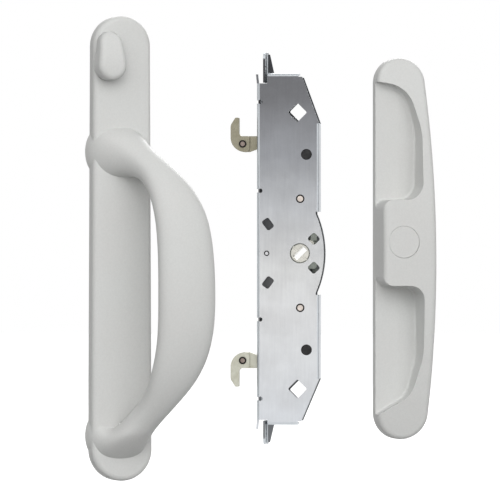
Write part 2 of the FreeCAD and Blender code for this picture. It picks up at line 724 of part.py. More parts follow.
def case_holes(y0, y1, stagger):
    """Holes that both case plates share; the screw holes move apart by a stagger."""
    holes = [cylinder_y(0, 0, HUB_HOLE_R, y0, y1)]
    for side in (1, -1):
        z = SCREW_HOLE_MIDDLE + side * (FIXING_Z + stagger)
        half = SCREW_HOLE_SIDE / 2
        x = SCREW_HOLE_X
        square = rounded_box(x - half, x + half, z - half, z + half, SCREW_HOLE_CORNER_R, y0, y1)
        holes.append(turned(square, x, z, 45))
        holes.append(cylinder_y(SPACER_X, side * SPACER_Z, SPACER_HOLE_R, y0, y1))
    holes.append(cylinder_y(FRONT_SPACER_X, 0, FRONT_HOLE_R, y0, y1))
    return holes


def lip_spans():
    """Heights of the front lip's pieces, from the top down."""
    half = LIP_BREAK_WIDTH / 2
    tops = [NOTCH_TOP] + [z - half for z in LIP_BREAKS]
    bottoms = [z + half for z in LIP_BREAKS] + [NOTCH_BOTTOM]
    return list(zip(tops, bottoms))


def horn(z, direction):
    """Small curled finger at an end of the near lip."""
    near = BEND_R - HALF_CASE
    finger = block(CASE_FRONT, CASE_FRONT + SHEET, near, near + HORN_WIDTH, 0, HORN_LENGTH)
    finger.rotate(V(CASE_FRONT + SHEET, 0, 0), V(0, 1, 0), -HORN_TILT)
    if direction < 0:
        finger = finger.mirror(V(0, 0, 0), V(0, 0, 1))
    finger.translate(V(0, 0, z - direction * 0.3))
    return finger


def near_case_plate():
    """Folded near plate: face, broken front lip, rear, top and bottom walls."""
    face = case_face(-1, False)
    wall = CASE_DEPTH - SHEET
    left, right, up, down = (-1, 0, 0), (1, 0, 0), (0, 0, 1), (0, 0, -1)
    gap = BULGE_HALF + RELIEF_R
    folds = [flange(FRONT_INSET, low, FRONT_INSET, high, left, -1, LIP_DEPTH) for high, low in lip_spans()]
    folds.append(flange(REAR_INSET, gap, REAR_INSET, CHAMFER_TOP_Z, right, -1, wall))
    folds.append(flange(REAR_INSET, CHAMFER_BOTTOM_Z, REAR_INSET, -gap, right, -1, wall))
    folds.append(flange(NOTCH_X, TOP_INSET, chamfer_x(TOP_INSET) - BEND_R, TOP_INSET, up, -1, wall))
    folds.append(flange(NOTCH_X, BOTTOM_INSET, chamfer_x(BOTTOM_INSET) - BEND_R, BOTTOM_INSET, down, -1, wall))
    folds.append(horn(NOTCH_TOP, 1))
    folds.append(horn(NOTCH_BOTTOM, -1))
    plate = face.fuse(folds).removeSplitter()
    y0, y1 = -HALF_CASE - 1, -INNER + 1
    holes = case_holes(y0, y1, 0)
    for z in LIP_BREAKS:
        holes.append(cylinder_y(FRONT_INSET, z, RELIEF_R, y0, y1))
    for side in (1, -1):
        turn = -side * FRONT_WINDOW_TURN
        z = side * FRONT_WINDOW_Z
        holes.append(window(FRONT_WINDOW_X, z, FRONT_WINDOW_LONG, FRONT_WINDOW_SHORT, turn, y0, y1))
        holes.append(window(REAR_WINDOW_X, side * REAR_WINDOW_Z, REAR_WINDOW_SIDE, REAR_WINDOW_SIDE, 43, y0, y1))
    holes.append(cylinder_y(PIVOT_X, PIVOT_UPPER_Z, PIVOT_HEAD_R, y0, y1))
    holes.append(cylinder_y(PIVOT_X, -PIVOT_LOWER_Z, PIVOT_HEAD_R, y0, y1))
    return plate.cut(holes).removeSplitter()


def ear(low, high, hole_z):
    """Mounting ear folded off the far plate, with its screw hole."""
    hinge = EAR_FACE + BEND_R
    tab = flange(hinge, low, hinge, high, (-1, 0, 0), 1, CASE_DEPTH - SHEET)
    x = EAR_FACE
    hole = Part.makeCylinder(EAR_HOLE_R, SHEET * 2, V(x - SHEET / 2, 0, hole_z), V(1, 0, 0))
    tab = tab.cut(hole)
    near_end = edges_at(tab, lambda c: abs(c.x - x - SHEET / 2) < 0.01 and c.y < -INNER + 1 and abs(c.z) > abs(hole_z))
    near_end = [edge for edge in near_end if edge.BoundBox.YLength < 0.01 and edge.BoundBox.ZLength < 0.01]
    return tab.makeFillet(EAR_CORNER_R, near_end)


def far_case_plate():
    """Far plate with its own front lip and the two mounting ears."""
    face = case_face(1, True)
    left = (-1, 0, 0)
    folds = [flange(FRONT_INSET, NOTCH_BOTTOM + 1, FRONT_INSET, NOTCH_TOP - 1, left, 1, LIP_DEPTH)]
    plate = face.fuse(folds).removeSplitter()
    y0, y1 = INNER - 1, HALF_CASE + 1
    holes = case_holes(y0, y1, SCREW_HOLE_STAGGER)
    holes.append(cylinder_y(PIVOT_X, PIVOT_UPPER_Z, PIVOT_R, y0, y1))
    holes.append(cylinder_y(PIVOT_X, -PIVOT_LOWER_Z, PIVOT_R, y0, y1))
    plate = plate.cut(holes)
    top_ear = ear(NOTCH_TOP - 1 + EAR_RELIEF, EAR_TOP, (NOTCH_TOP + EAR_TOP) / 2 + 1)
    bottom_ear = ear(EAR_BOTTOM, NOTCH_BOTTOM + 1 - EAR_RELIEF, (NOTCH_BOTTOM + EAR_BOTTOM) / 2 - 1)
    return plate.fuse([top_ear, bottom_ear]).removeSplitter()


def lock_hub():
    """Hub with two journals, two driving pins and a through slot for the tailpiece."""
    reach = HUB_HALF_BODY
    body = cylinder_y(0, 0, HUB_BODY_R, -reach, reach)
    journal = cylinder_y(0, 0, HUB_HOLE_R - RUNNING_GAP, -HALF_CASE, HALF_CASE)
    rims = edges_at(journal, lambda c: abs(c.y) > HALF_CASE - 0.1)
    journal = journal.makeChamfer(HUB_CHAMFER, rims)
    adds = [journal]
    for angle, y0, y1 in ((HUB_REST_ANGLE, -SLIDE_OUTER, 0), (HUB_REST_ANGLE + 180, 0, SLIDE_OUTER)):
        x, z = polar(0, 0, HUB_PIN_ORBIT, angle)
        adds.append(egg(0, 0, HUB_BODY_R - 1, x, z, HUB_LOBE_R, -reach, reach))
        adds.append(cylinder_y(x, z, HUB_PIN_R, y0, y1))
    body = body.fuse(adds).removeSplitter()
    half = HUB_SLOT_LENGTH / 2
    wide = HUB_SLOT_WIDTH / 2
    slot = block(-half, half, -HALF_CASE - 1, HALF_CASE + 1, -wide, wide)
    cuts = [turned(slot, 0, 0, HUB_REST_ANGLE)]
    for side in (-1, 1):
        y0, y1 = sorted((side * (HALF_CASE + 1), side * (HALF_CASE - HUB_GROOVE_DEPTH)))
        groove = block(-HUB_GROOVE_WIDTH / 2, HUB_GROOVE_WIDTH / 2, y0, y1, -HUB_HOLE_R, HUB_HOLE_R)
        cuts.append(turned(groove, 0, 0, HUB_REST_ANGLE))
        long_rim = half + HUB_SLOT_RIM
        wide_rim = wide + HUB_SLOT_RIM
        cuts.append(turned(block(-long_rim, long_rim, y0, y1, -wide_rim, wide_rim), 0, 0, HUB_REST_ANGLE))
    return body.cut(cuts)


def slide_plate(pivot_z, pin_side):
    """Slide for an upper hook, at the middle of its stroke; pin_side is 1 with the hub pin at the right."""
    reach = HUB_HOLE_R + SLIDE_STROKE / 2 + SLIDE_SIDE_GAP
    wide = HUB_HOLE_R + SLIDE_SIDE_GAP
    end = reach + SLIDE_RAIL
    pin_edge = HUB_PIN_ORBIT + HUB_PIN_R + DRIVE_PLAY
    near_edge = wide + SLIDE_RAIL
    left, right = (-near_edge, pin_edge) if pin_side > 0 else (-pin_edge, near_edge)
    tail_right = PIVOT_X - PIVOT_SLEEVE_R - 0.3
    neck = pivot_z - SLIDE_STROKE / 2 - PIVOT_SLEEVE_R - 2.0
    top = pivot_z + SLIDE_ARM_TAIL
    outline = [
        (left, -end, 2), (right, -end, 2), (right, end, 2), (SPACER_X + SPACER_ARM, end, 0),
        (SPACER_X + SPACER_ARM, neck, 2), (tail_right, neck, 0.8), (tail_right, top, 1.5),
        (SLIDE_ARM_LEFT, top, 1.5), (SLIDE_ARM_LEFT, end + 6, 2), (left, end, 2),
    ]
    slide = prism(outline, 0, SLIDE_THICKNESS)
    hole = obround(0, HUB_HOLE_R - reach, 0, reach - HUB_HOLE_R, wide, -1, SLIDE_THICKNESS + 1)
    fork = HUB_PIN_R + DRIVE_PLAY
    gap = block(0, SLIDE_FORK_REACH, -1, SLIDE_THICKNESS + 1, -fork, fork)
    if pin_side < 0:
        gap = gap.mirror(V(0, 0, 0), V(1, 0, 0))
    guide_r = SPACER_R + 0.15
    half = SLIDE_STROKE / 2 + 0.2
    guide = obround(SPACER_X, SPACER_Z - half, SPACER_X, SPACER_Z + half, guide_r, -1, SLIDE_THICKNESS + 1)
    near_x = PIVOT_X - HOOK_PIN_ORBIT * math.cos(math.radians(HOOK_THROW / 2))
    far_x = PIVOT_X - HOOK_PIN_ORBIT
    drive = obround(far_x - 0.3, pivot_z, near_x + 0.3, pivot_z, HOOK_PIN_R + DRIVE_PLAY, -1, SLIDE_THICKNESS + 1)
    return slide.cut([hole, gap, guide, drive])


def upper_slide():
    """Near slide, raised, that works the upper hook."""
    slide = slide_plate(PIVOT_UPPER_Z, 1)
    slide.translate(V(0, -SLIDE_OUTER, SLIDE_STROKE / 2))
    return slide


def lower_slide():
    """Far slide, lowered, that works the lower hook."""
    slide = slide_plate(PIVOT_LOWER_Z, -1).mirror(V(0, 0, 0), V(0, 0, 1))
    slide.translate(V(0, SLIDE_INNER, -SLIDE_STROKE / 2))
    return slide


def hook_head():
    """Corners of the hook's nose and heel, about an upper pivot at the origin."""
    return [
        (-HOOK_BACK, HOOK_TIP_RISE - 4.6, 4), (-HOOK_THROAT - 2.2, HOOK_TIP_RISE, 0.8),
        (-HOOK_THROAT, HOOK_TIP_RISE, 0.5), (-HOOK_THROAT, HOOK_ARM_TOP, 2.2),
    ]


def place_hook(shape, upper):
    """Piece drawn about an upper pivot to its place in the lock."""
    if not upper:
        shape = shape.mirror(V(0, 0, 0), V(0, 0, 1))
    shape.translate(V(PIVOT_X, 0, PIVOT_UPPER_Z if upper else -PIVOT_LOWER_Z))
    return shape


def drive_pin_place():
    """Where the hook's drive pin stands at rest, about an upper pivot."""
    return polar(0, 0, HOOK_PIN_ORBIT, 180 - HOOK_THROW / 2)


def hook_core(upper):
    """Middle plate of a hook, with its arm and eye."""
    half = HOOK_CORE / 2
    outline = hook_head() + [
        (-3.5, HOOK_ARM_TOP, 3.5), (4.6, 3.85, 0), (2.0, -5.65, 0), (-8.0, -2.0, 5),
        (-15.5, HOOK_ARM_BOTTOM, 8), (-HOOK_CHEEK_END + 5, HOOK_ARM_BOTTOM, 1.5),
        (-HOOK_CHEEK_END, HOOK_HEEL, 0.8), (-HOOK_BACK, HOOK_HEEL, HOOK_HEEL_R * 0.93),
    ]
    core = prism(outline, -half, half).fuse(cylinder_y(0, 0, HOOK_EYE_R, -half, half)).removeSplitter()
    x, z = drive_pin_place()
    holes = [
        cylinder_y(0, 0, PIVOT_R + RUNNING_GAP, -half, half),
        cylinder_y(x, z, HOOK_PIN_R, -half, half),
        cylinder_y(-HOOK_RIVET_AT[0], HOOK_RIVET_AT[1], HOOK_RIVET_R, -half, half),
    ]
    return place_hook(core.cut(holes), upper)


def hook_cheek(upper, side):
    """Outer plate of a hook, which ends short of the case."""
    y0, y1 = sorted((side * HOOK_CORE / 2, side * (HOOK_CORE / 2 + HOOK_CHEEK)))
    outline = hook_head() + [
        (-HOOK_CHEEK_END, HOOK_ARM_TOP, 1.2), (-HOOK_CHEEK_END, HOOK_HEEL, 2.5),
        (-HOOK_BACK, HOOK_HEEL, HOOK_HEEL_R * 0.74),
    ]
    cheek = prism(outline, y0, y1)
    hole = cylinder_y(-HOOK_RIVET_AT[0], HOOK_RIVET_AT[1], HOOK_RIVET_R, y0, y1)
    return place_hook(cheek.cut(hole), upper)


def hook_rivet(upper):
    """Rivet through the three plates of a hook's nose."""
    x, z = -HOOK_RIVET_AT[0], HOOK_RIVET_AT[1]
    face = HOOK_CORE / 2 + HOOK_CHEEK
    shank = cylinder_y(x, z, HOOK_RIVET_R, -face, face)
    heads = []
    for y0, y1 in ((-face - HOOK_RIVET_HEAD, -face), (face, face + HOOK_RIVET_HEAD)):
        heads.append(cylinder_y(x, z, HOOK_RIVET_HEAD_R, y0, y1))
    return place_hook(shank.fuse(heads).removeSplitter(), upper)


def drive_pin(upper):
    """Pin pressed in a hook's arm that rides in the slide's slot."""
    side = -1 if upper else 1
    y0, y1 = sorted((-side * HOOK_CORE / 2, side * SLIDE_OUTER))
    x, z = drive_pin_place()
    return place_hook(cylinder_y(x, z, HOOK_PIN_R, y0, y1), upper)


def pivot_pin(upper):
    """Headed pin that carries a hook, its head flush in the near plate."""
    shank = cylinder_y(0, 0, PIVOT_R, -INNER, HALF_CASE)
    head = cylinder_y(0, 0, PIVOT_HEAD_R, -HALF_CASE, -INNER)
    rim = edges_at(head, lambda c: c.y < -HALF_CASE + 0.1)
    head = head.makeChamfer(0.3, rim)
    return place_hook(shank.fuse(head).removeSplitter(), upper)


def pivot_sleeves(upper):
    """Two tubes on a pivot pin that keep the hook in the middle of the case."""
    tubes = []
    for side in (-1, 1):
        y0, y1 = sorted((side * (HOOK_CORE / 2 + LAYER_GAP), side * INNER))
        tube = cylinder_y(0, 0, PIVOT_SLEEVE_R, y0, y1)
        tubes.append(tube.cut(cylinder_y(0, 0, PIVOT_R, y0, y1)))
    return place_hook(Part.makeCompound(tubes), upper)


def guide_spacers():
    """Two shouldered posts that join the case plates and guide the slides."""
    posts = []
    for side in (1, -1):
        z = side * SPACER_Z
        barrel = cylinder_y(SPACER_X, z, SPACER_R, -INNER, INNER)
        tenon = cylinder_y(SPACER_X, z, SPACER_TENON_R, -HALF_CASE, HALF_CASE)
        posts.append(barrel.fuse(tenon).removeSplitter())
    return Part.makeCompound(posts)


def front_spacer():
    """Small shouldered post near the front of the case."""
    barrel = cylinder_y(FRONT_SPACER_X, 0, FRONT_SPACER_R, -INNER, INNER)
    tenon = cylinder_y(FRONT_SPACER_X, 0, FRONT_TENON_R, -HALF_CASE, HALF_CASE)
    return barrel.fuse(tenon).removeSplitter()


# Exterior pull

EXT_MIDDLE = (EXT_TOP + EXT_BOTTOM) / 2


def exterior_outline():
    """Wire of the pull's footprint: straight left side, gently bowed right side."""
    top_centre = EXT_TOP - EXT_TOP_R
    bottom_centre = EXT_BOTTOM + EXT_BOTTOM_R
    top_right = EXT_LEFT + 2 * EXT_TOP_R
    bottom_right = EXT_LEFT + 2 * EXT_BOTTOM_R
    top_mid = EXT_LEFT + EXT_TOP_R
    bottom_mid = EXT_LEFT + EXT_BOTTOM_R
    a = V(EXT_LEFT, 0, top_centre)
    b = V(top_right, 0, top_centre)
    c = V(bottom_right, 0, bottom_centre)
    d = V(EXT_LEFT, 0, bottom_centre)
    edges = [
        Part.Arc(a, V(top_mid, 0, EXT_TOP), b).toShape(),
        Part.Arc(b, V(EXT_BELLY, 0, EXT_MIDDLE), c).toShape(),
        Part.Arc(c, V(bottom_mid, 0, EXT_BOTTOM), d).toShape(),
        Part.makeLine(d, a),
    ]
    return Part.Wire(edges)


def exterior_blank():
    """Footprint raised to an arched front with rounded edges."""
    tall = Part.Face(exterior_outline()).extrude(V(0, -EXT_DEPTH - 5, 0))
    left = EXT_LEFT - 5
    start = V(left, -EXT_END_DEPTH, EXT_TOP)
    middle = V(left, -EXT_DEPTH, EXT_MIDDLE)
    end = V(left, -EXT_END_DEPTH, EXT_BOTTOM)
    edges = [
        Part.Arc(start, middle, end).toShape(),
        Part.makeLine(end, V(left, 0, EXT_BOTTOM)),
        Part.makeLine(V(left, 0, EXT_BOTTOM), V(left, 0, EXT_TOP)),
        Part.makeLine(V(left, 0, EXT_TOP), start),
    ]
    side_view = Part.Face(Part.Wire(edges)).extrude(V(60, 0, 0))
    blank = tall.common(side_view)
    rim = edges_at(blank, lambda c: c.y < -EXT_END_DEPTH + 1)
    return blank.makeFillet(EXT_EDGE_R, rim)


def finger_recess(corners):
    """Cutter for a finger recess that opens to the left; its floor falls away right of a crease."""
    floor = -EXT_FLOOR
    cutter = prism(corners, -EXT_DEPTH - 5, floor)
    right = EXT_CREASE_X + 30
    fall = EXT_FALL * 30 / (EXT_RIDGE_X - EXT_CREASE_X)
    section = [V(EXT_CREASE_X, floor - 1, EXT_BOTTOM), V(EXT_CREASE_X, floor, EXT_BOTTOM)]
    section += [V(right, floor + fall, EXT_BOTTOM), V(right, floor - 1, EXT_BOTTOM)]
    wedge = Part.Face(Part.makePolygon(section + section[:1])).extrude(V(0, 0, EXT_TOP - EXT_BOTTOM))
    deeper = prism(corners, floor - 1, floor + EXT_FLOOR).common(wedge)
    cutter = cutter.fuse(deeper).removeSplitter()
    foot = edges_at(cutter, lambda c: c.y > floor - 0.01 and c.x > EXT_LEFT + 1 and abs(c.x - EXT_CREASE_X) > 0.1)
    return cutter.makeFillet(EXT_COVE_R, foot)


def exterior_pull():
    """One casting: arched grip ridge, two finger recesses, plug seat and posts."""
    outside = EXT_LEFT - 10
    upper = [
        (outside, 99.5, 0), (2.4, 94.8, 18), (EXT_RIDGE_X, 68, 40), (EXT_RIDGE_X - 0.6, EXT_BLOCK_TOP, 11),
        (EXT_LEFT, EXT_BLOCK_TOP, EXT_BLOCK_R), (EXT_LEFT, EXT_BLOCK_TOP - 8, 0), (outside, EXT_BLOCK_TOP - 8, 0),
    ]
    lower = [
        (outside, EXT_BLOCK_BOTTOM + 8, 0), (EXT_LEFT, EXT_BLOCK_BOTTOM + 8, 0),
        (EXT_LEFT, EXT_BLOCK_BOTTOM, EXT_BLOCK_R),
        (EXT_RIDGE_X, EXT_BLOCK_BOTTOM, 9), (EXT_RIDGE_X + 0.6, -70, 40), (4.0, -93.5, 14), (outside, -111, 0),
    ]
    body = exterior_blank().cut([finger_recess(upper), finger_recess(lower)])
    wall = EXT_POCKET_WALL
    low = EXT_BLOCK_BOTTOM + wall + 4
    high = EXT_BLOCK_TOP - wall - 4
    pocket = rounded_box(EXT_LEFT + wall, EXT_BELLY - wall, low, high, 3, -EXT_POCKET_DEPTH, 1)
    cuts = [
        pocket,
        cylinder_y(PLUG_X, 0, PLUG_SKIRT_R + PLUG_GAP, -EXT_DEPTH - 1, 0),
        cylinder_y(PLUG_X, 0, PLUG_R + PLUG_GAP, -EXT_DEPTH - 1, PLUG_HEAD - EXT_DEPTH),
    ]
    body = body.cut(cuts)
    posts = [cylinder_y(0, side * FIXING_Z, EXT_POST_R, -EXT_FLOOR / 2, EXT_POST_LENGTH) for side in (1, -1)]
    body = body.fuse(posts)
    bores = [cylinder_y(0, side * FIXING_Z, FIXING_BORE_R, -EXT_FLOOR / 2, EXT_POST_LENGTH + 1) for side in (1, -1)]
    return body.cut(bores).removeSplitter()


def cylinder_plug():
    """Round cap with a skirt that closes the key cylinder's hole."""
    front = -EXT_DEPTH + 0.05
    head_back = PLUG_HEAD - EXT_DEPTH
    head = cylinder_y(PLUG_X, 0, PLUG_R, front, head_back)
    rim = edges_at(head, lambda c: c.y < front + 0.01)
    head = head.makeFillet(0.4, rim)
    skirt = cylinder_y(PLUG_X, 0, PLUG_SKIRT_R, front + 1, head_back + PLUG_SKIRT_LENGTH)
    hollow = cylinder_y(PLUG_X, 0, PLUG_SKIRT_R - PLUG_SKIRT_WALL, head_back, head_back + PLUG_SKIRT_LENGTH)
    return head.fuse(skirt).removeSplitter().cut(hollow)


def plug_clip():
    """Push-on ring that holds the plug from behind."""
    front = -EXT_POCKET_DEPTH
    ring = cylinder_y(PLUG_X, 0, CLIP_R, front, front + CLIP_THICKNESS)
    return ring.cut(cylinder_y(PLUG_X, 0, PLUG_SKIRT_R, front, front + CLIP_THICKNESS))


os.makedirs("parts", exist_ok=True)

save(interior_frame(interior_pull()), "interior_pull")
save(interior_frame(thumb_turn()), "thumb_turn")
save(interior_frame(turn_crank()), "turn_crank")
save(interior_frame(link_bar()), "link_bar")
save(interior_frame(link_rivet(TURN_X, TURN_Z)), "upper_link_rivet")
save(interior_frame(link_rivet(0, 0)), "lower_link_rivet")
save(interior_frame(tail_driver()), "tail_driver")
save(interior_frame(tailpiece()), "tailpiece")
save(interior_frame(driver_keeper()), "driver_keeper")
save(interior_frame(keeper_screws()), "keeper_screws")

save(lock_frame(near_case_plate()), "near_case_plate")
save(lock_frame(far_case_plate()), "far_case_plate")
save(lock_frame(lock_hub()), "lock_hub")
save(lock_frame(upper_slide()), "upper_slide")
save(lock_frame(lower_slide()), "lower_slide")
save(lock_frame(guide_spacers()), "guide_spacers")
save(lock_frame(front_spacer()), "front_spacer")
for place, upper in (("upper", True), ("lower", False)):
    save(lock_frame(hook_core(upper)), place + "_hook")
    save(lock_frame(hook_cheek(upper, -1)), place + "_hook_near_cheek")
    save(lock_frame(hook_cheek(upper, 1)), place + "_hook_far_cheek")
    save(lock_frame(hook_rivet(upper)), place + "_hook_rivet")
    save(lock_frame(drive_pin(upper)), place + "_drive_pin")
    save(lock_frame(pivot_pin(upper)), place + "_pivot_pin")
    save(lock_frame(pivot_sleeves(upper)), place + "_pivot_sleeves")

save(exterior_frame(exterior_pull()), "exterior_pull")
save(exterior_frame(cylinder_plug()), "cylinder_plug")
save(exterior_frame(plug_clip()), "plug_clip")
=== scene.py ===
"""Mortise sliding door handle set: materials, studio and camera.

Metres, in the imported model's frame: +Z up, the fronts face -Y. Colours are display values
between 0 and 255 until linear() turns them.
"""
import json
import math

import bpy
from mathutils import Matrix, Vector


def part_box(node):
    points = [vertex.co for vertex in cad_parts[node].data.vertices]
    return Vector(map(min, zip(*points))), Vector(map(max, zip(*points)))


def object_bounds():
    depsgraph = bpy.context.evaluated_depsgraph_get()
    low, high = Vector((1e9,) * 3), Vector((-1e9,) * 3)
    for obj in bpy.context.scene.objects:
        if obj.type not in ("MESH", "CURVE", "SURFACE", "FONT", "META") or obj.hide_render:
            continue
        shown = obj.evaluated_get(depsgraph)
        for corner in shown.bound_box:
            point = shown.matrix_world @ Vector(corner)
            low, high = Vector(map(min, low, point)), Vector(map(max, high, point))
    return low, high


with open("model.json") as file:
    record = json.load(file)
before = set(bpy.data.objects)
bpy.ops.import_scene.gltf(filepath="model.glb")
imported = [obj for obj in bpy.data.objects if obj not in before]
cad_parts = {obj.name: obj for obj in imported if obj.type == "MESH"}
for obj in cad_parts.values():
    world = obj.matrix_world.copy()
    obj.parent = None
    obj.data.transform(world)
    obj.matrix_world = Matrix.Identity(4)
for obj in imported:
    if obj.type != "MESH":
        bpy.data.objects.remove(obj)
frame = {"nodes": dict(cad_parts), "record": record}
cad_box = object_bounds()

# Photograph's frame: the interior pull's origin and the scale
PHOTO_SIZE = 500
METRES_PER_PIXEL = 0.000612
ORIGIN_PIXEL = (117.4, 287.1)
CAMERA_DISTANCE = 3.0
CAMERA_CLIP = 50
SENSOR = 36.0

# Lock's own axis, turned to the left with the case
LOCK_TURN = math.radians(-5)
LOCK_AXIS = (math.sin(LOCK_TURN), -math.cos(LOCK_TURN), 0)

# Upset ends: radius of the bright face inside a dark ring of painted shade, and the face's
# two tones
SPACER_RADIUS = 0.0029
PAINTED_SHADE_RING_START = 0.84
PAINTED_SHADE_RING_TONE = (30, 28, 27)
HOOK_RIVET_END = (0.0015, (120, 106, 100), (150, 138, 130))
FRONT_SPACER_END = (0.0011, (176, 176, 178), (206, 206, 208))
GUIDE_SPACER_END = (0.0019, (190, 180, 172), (216, 206, 198))

# Part of a noise value's range that the tones are spread over
NOISE_LOW = 0.3
NOISE_HIGH = 0.7

# Zinc: painted reflection darkens the case's front towards its top, and painted shade
# darkens the far plate's inside
ZINC_REFLECTION_HEIGHTS = (-0.08, 0.13)
ZINC_FRONT_PAINTED_REFLECTION = (
    (0.0, (209, 212, 216)), (0.17, (214, 216, 218)), (0.3, (212, 213, 214)),
    (0.43, (210, 211, 211)), (0.61, (182, 184, 187)), (0.76, (147, 149, 153)),
    (0.92, (114, 115, 118)), (1.0, (108, 109, 112)),
)
ZINC_SIDES = (200, 205, 209)
ZINC_PAINTED_SHADE = (24, 25, 27)
ZINC_FRONT_NORMALS = (0.93, 0.99)
ZINC_LINES_STRETCH = (60, 60, 4)

# Hooks: darker towards the top
HOOK_HEIGHTS = (-0.06, 0.1)
HOOK_TONES = ((0.1, (196, 196, 184)), (0.9, (146, 142, 126)))

# Floor and world
FLOOR_GAP = 0.013
FLOOR_SIZE = 12.0
FLOOR_TONE = 0.3
FLOOR_ROUGHNESS = 0.9
FLOOR_GLOW = 0.85
WHITE = (1, 1, 1, 1)
WORLD_STRENGTH = 0.25
SOFT_LIGHT_FROM = (0.12, -1.0, 0.3)
SOFT_LIGHT_FOCUS = 4.0
SOFT_LIGHT_STRENGTH = 2.25

# Lamps: place and aim from the middle of the set, size, power
LAMPS = {
    "lamp_key": ((-0.05, -0.75, 0.45), (0, 0, 0.1), (0.5, 0.5), 1.1),
    "lamp_left": ((-1.4, -1.8, 0.7), (0, 0, 0), (1.2, 1.2), 1.5),
    "lamp_right": ((1.3, -1.6, 0.8), (0, 0, 0), (1.2, 1.2), 4.0),
    "lamp_back": ((0.4, 1.8, 1.2), (0, 0, 0), (1.4, 1.2), 34.0),
}


def linear(display):
    """Linear colour with alpha from a display colour."""
    out = []
    for value in display:
        value = value / 255
        out.append(value / 12.92 if value <= 0.04045 else ((value + 0.055) / 1.055) ** 2.4)
    return (*out, 1.0)


class Graph:
    """Node tree with helpers that return output sockets."""

    def __init__(self, tree):
        self.nodes = tree.nodes
        self.links = tree.links

    def put(self, socket, value):
        """Feed an input from a socket or with a constant."""
        if isinstance(value, bpy.types.NodeSocket):
            self.links.new(value, socket)
        else:
            socket.default_value = value

    def coordinates(self, name):
        return self.nodes.new("ShaderNodeTexCoord").outputs[name]

    def operate(self, kind, operation, values):
        """Outputs of a maths node fed with the values in order."""
        node = self.nodes.new(kind)
        node.operation = operation
        for socket, value in zip(node.inputs, values):
            self.put(socket, value)
        return node.outputs

    def maths(self, operation, *values):
        return self.operate("ShaderNodeMath", operation, values)["Value"]

    def vector(self, operation, *values):
        return self.operate("ShaderNodeVectorMath", operation, values)["Vector"]

    def measure(self, operation, *values):
        """Number from vectors, such as a length."""
        return self.operate("ShaderNodeVectorMath", operation, values)["Value"]

    def spread(self, value, low, high, from_low=NOISE_LOW, from_high=NOISE_HIGH):
        """Value mapped from one range to another."""
        node = self.nodes.new("ShaderNodeMapRange")
        ends = {"From Min": from_low, "From Max": from_high, "To Min": low, "To Max": high}
        for name, end in ends.items():
            self.put(node.inputs[name], end)
        self.put(node.inputs["Value"], value)
        return node.outputs["Result"]

    def seen_directly(self):
        """Factor that is 1 for camera, glossy and transmission rays."""
        path = self.nodes.new("ShaderNodeLightPath").outputs
        either = self.maths("MAXIMUM", path["Is Camera Ray"], path["Is Glossy Ray"])
        return self.maths("MAXIMUM", either, path["Is Transmission Ray"])


class Material(Graph):
    """Principled material with helpers for its textures."""

    def __init__(self, name, roughness, metallic=0.0):
        self.material = bpy.data.materials.new(name)
        self.material.use_nodes = True
        super().__init__(self.material.node_tree)
        self.inputs = self.nodes["Principled BSDF"].inputs
        self.put(self.inputs["Roughness"], roughness)
        self.put(self.inputs["Metallic"], metallic)
        self.place = self.coordinates("Object")

    def noise(self, scale, detail=3.0, roughness=0.5, stretch=None):
        """Noise value at a scale in cells per metre."""
        place = self.place
        if stretch:
            mapping = self.nodes.new("ShaderNodeMapping")
            self.put(mapping.inputs["Scale"], stretch)
            self.put(mapping.inputs["Vector"], place)
            place = mapping.outputs["Vector"]
        node = self.nodes.new("ShaderNodeTexNoise")
        self.put(node.inputs["Scale"], scale)
        self.put(node.inputs["Detail"], detail)
        self.put(node.inputs["Roughness"], roughness)
        self.put(node.inputs["Vector"], place)
        return node.outputs["Fac"]

    def ramp(self, value, stops):
        """Colour ramp over a value; stops are (position, tone)."""
        node = self.nodes.new("ShaderNodeValToRGB")
        elements = node.color_ramp.elements
        while len(elements) < len(stops):
            elements.new(0.5)
        for element, (position, tone) in zip(elements, stops):
            element.position = position
            element.color = linear(tone)
        self.put(node.inputs["Fac"], value)
        return node.outputs["Color"]

    def between(self, value, dark, light):
        """Colour between two tones over the middle of a noise value."""
        return self.ramp(value, ((NOISE_LOW, dark), (NOISE_HIGH, light)))

    def mix(self, factor, first, second, blend="MIX"):
        """Mixed colour; each value is a socket or a constant."""
        node = self.nodes.new("ShaderNodeMix")
        node.data_type = "RGBA"
        node.blend_type = blend
        # The colour sockets come after the factors, floats and vectors
        for index, value in ((0, factor), (6, first), (7, second)):
            self.put(node.inputs[index], value)
        return node.outputs[2]

    def height(self, ends):
        """0 to 1 between two world heights."""
        node = self.nodes.new("ShaderNodeSeparateXYZ")
        self.put(node.inputs["Vector"], self.place)
        return self.spread(node.outputs["Z"], 0, 1, *ends)

    def facing_front(self, ends):
        """0 to 1 as the surface turns to face the front."""
        normal = self.nodes.new("ShaderNodeNewGeometry").outputs["Normal"]
        return self.spread(self.measure("DOT_PRODUCT", normal, (0, -1, 0)), 0, 1, *ends)

    def distance_from_axis(self, centre, axis):
        """Distance from a line through a point."""
        away = self.vector("SUBTRACT", self.place, centre)
        return self.measure("LENGTH", self.vector("CROSS_PRODUCT", away, axis))

    def bump(self, value, distance, strength, softened=0.0):
        """Bump from a value, over edges softened by a radius."""
        node = self.nodes.new("ShaderNodeBump")
        self.put(node.inputs["Distance"], distance)
        self.put(node.inputs["Strength"], strength)
        self.put(node.inputs["Height"], value)
        if softened:
            bevel = self.nodes.new("ShaderNodeBevel")
            bevel.samples = 4
            self.put(bevel.inputs["Radius"], softened)
            self.put(node.inputs["Normal"], bevel.outputs["Normal"])
        self.put(self.inputs["Normal"], node.outputs["Normal"])

    def colour(self, value):
        self.put(self.inputs["Base Color"], value)

    def gloss(self, value):
        self.put(self.inputs["Roughness"], value)


